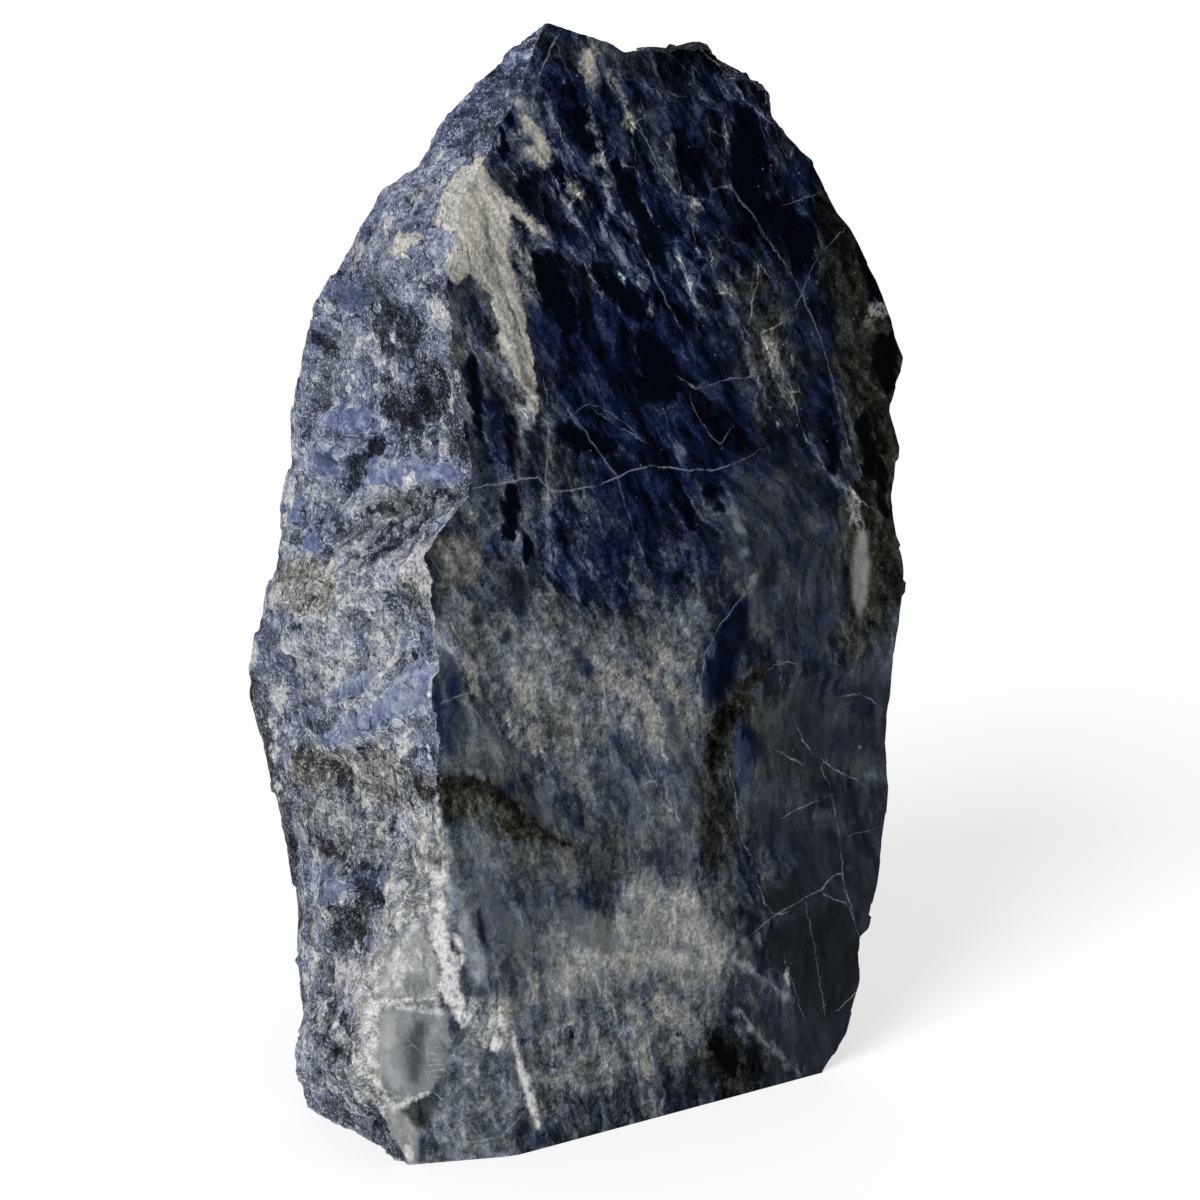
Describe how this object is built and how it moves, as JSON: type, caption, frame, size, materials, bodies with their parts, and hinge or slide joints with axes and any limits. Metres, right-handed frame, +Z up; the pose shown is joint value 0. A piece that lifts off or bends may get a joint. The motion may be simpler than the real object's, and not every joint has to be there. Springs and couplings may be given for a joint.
{
  "type": "rough sodalite",
  "caption": "Upright rough sodalite block with one sawn and honed face, broken sides and a flat sawn foot.",
  "frame": {"origin": "middle of the bounding box at the sawn foot", "axes": "+Z up along the block's height, the honed face looks along -Y"},
  "size_m": [0.1366, 0.078, 0.2504],
  "materials": {
    "sodalite": "honed dark blue with grey and cream veining, broken on the other sides"
  },
  "bodies": {
    "root": {"sodalite": "sodalite"}
  },
  "joints": []
}
